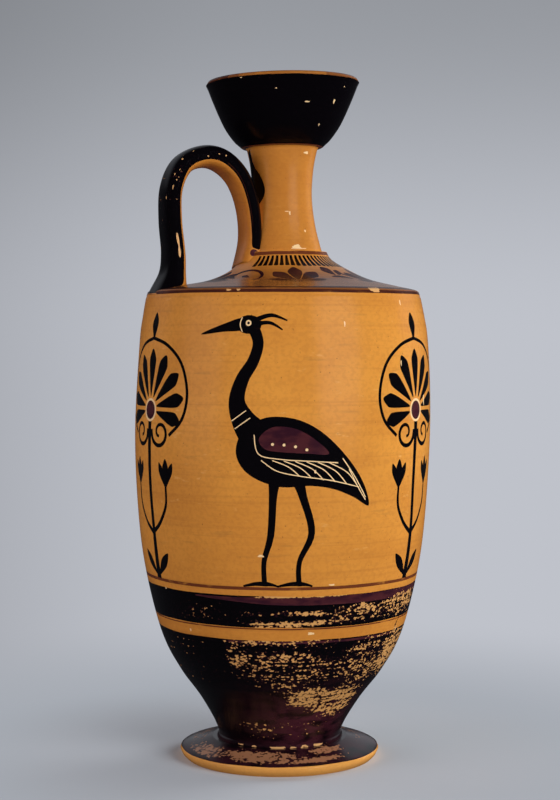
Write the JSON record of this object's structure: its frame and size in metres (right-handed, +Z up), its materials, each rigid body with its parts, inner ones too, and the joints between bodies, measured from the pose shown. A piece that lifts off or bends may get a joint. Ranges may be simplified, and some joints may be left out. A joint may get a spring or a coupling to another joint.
{
  "type": "lekythos",
  "caption": "Tall shouldered lekythos, a fired-clay oil flask with a disc foot, narrow neck, flaring cup mouth and a strap handle, for pouring oil slowly.",
  "frame": {"origin": "centre of the resting face under the foot", "axes": "+Z up along the vessel's axis, the handle on the -X side in the plane Y = 0"},
  "size_m": [0.1312, 0.1312, 0.3],
  "materials": {
    "clay": "burnished orange clay, satin",
    "black_gloss": "fired black gloss slip",
    "luting_slip": "matte fired slip"
  },
  "bodies": {
    "root": {"foot": "black_gloss", "foot_slip": "luting_slip", "foot_fillet": "black_gloss", "body": "clay", "shoulder_slip": "luting_slip", "shoulder": "clay", "neck_slip": "luting_slip", "neck": "clay", "mouth_slip": "luting_slip", "mouth": "black_gloss", "handle": "black_gloss", "handle_neck_slip": "luting_slip", "handle_shoulder_slip": "luting_slip"}
  },
  "joints": []
}
